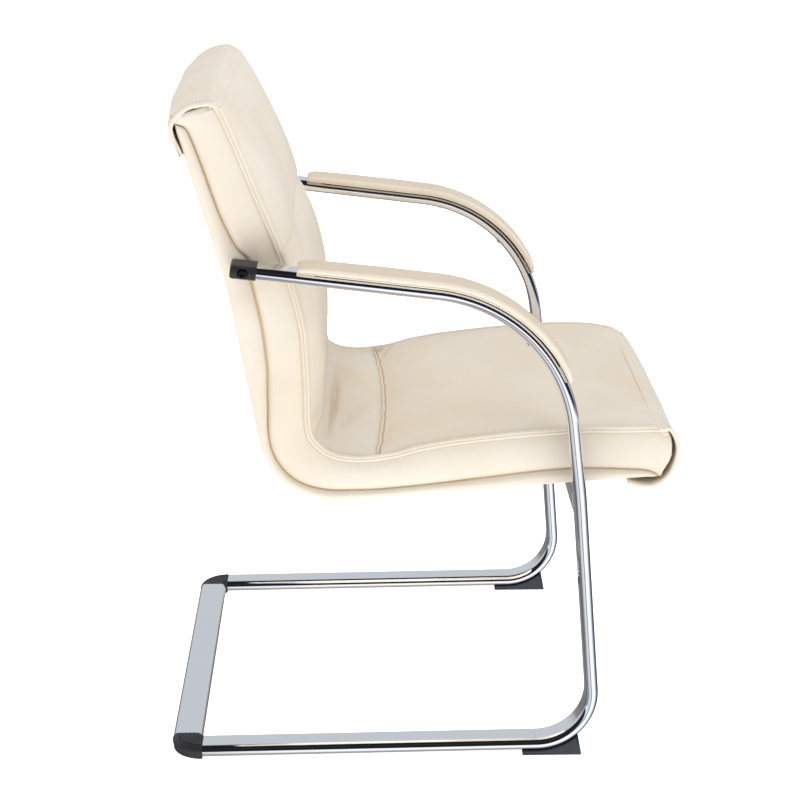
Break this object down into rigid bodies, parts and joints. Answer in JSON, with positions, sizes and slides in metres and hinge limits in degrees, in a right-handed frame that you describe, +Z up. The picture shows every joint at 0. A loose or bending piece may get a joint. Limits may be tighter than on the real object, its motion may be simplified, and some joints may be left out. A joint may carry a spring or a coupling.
{
  "type": "conference chair",
  "caption": "Cantilever conference armchair: bent flat-oval chromed tubes carry an upright padded leather seat and back, with padded arms, seat crossbar and floor glides.",
  "frame": {"origin": "on the floor under the middle of the chair's bounding box", "axes": "+Z up, the chair faces -Y, +X is the sitter's left, and the chair is symmetric across X"},
  "size_m": [0.5882, 0.6744, 0.8809],
  "materials": {
    "chrome": "bright polished chrome plating on steel tube",
    "zinc_steel": "bright zinc plating, faintly satin",
    "black_steel": "blackened steel, low sheen",
    "black_plastic": "moulded black plastic, fine satin",
    "black_rubber": "dark matt rubber",
    "cream_leather": "smooth cream leather with a soft sheen and fine grain",
    "birch_plywood": "bent plywood, unvarnished"
  },
  "bodies": {
    "root": {"side_frame_left": "chrome", "side_frame_right": "chrome", "rear_crossbar": "chrome", "seat_crossbar": "chrome", "corner_cap_left": "black_plastic", "corner_cap_right": "black_plastic", "glide_left": "black_rubber", "glide_right": "black_rubber", "glide_screw_left": "zinc_steel", "glide_screw_right": "zinc_steel", "arm_end_cap_left": "black_plastic", "arm_end_cap_right": "black_plastic", "arm_bolt_left": "black_steel", "arm_bolt_right": "black_steel", "arm_anchor_left": "zinc_steel", "arm_anchor_right": "zinc_steel", "arm_anchor_nut_left": "zinc_steel", "arm_anchor_nut_right": "zinc_steel", "arm_pad_base_left": "black_plastic", "arm_pad_base_right": "black_plastic", "arm_pad_left": "cream_leather", "arm_pad_right": "cream_leather", "arm_pad_screw_1_left": "zinc_steel", "arm_pad_screw_1_right": "zinc_steel", "arm_pad_screw_2_left": "zinc_steel", "arm_pad_screw_2_right": "zinc_steel", "arm_pad_screw_3_left": "zinc_steel", "arm_pad_screw_3_right": "zinc_steel", "seat_plate_left": "zinc_steel", "seat_plate_right": "zinc_steel", "seat_bolt_1_left": "zinc_steel", "seat_bolt_1_right": "zinc_steel", "seat_bolt_2_left": "zinc_steel", "seat_bolt_2_right": "zinc_steel", "seat_insert_1_left": "zinc_steel", "seat_insert_1_right": "zinc_steel", "seat_insert_2_left": "zinc_steel", "seat_insert_2_right": "zinc_steel", "plywood_shell": "birch_plywood", "rear_cover": "cream_leather", "back_cushion": "cream_leather", "lumbar_cushion": "cream_leather", "seat_cushion": "cream_leather", "top_flap": "cream_leather", "front_wrap": "cream_leather"}
  },
  "joints": []
}
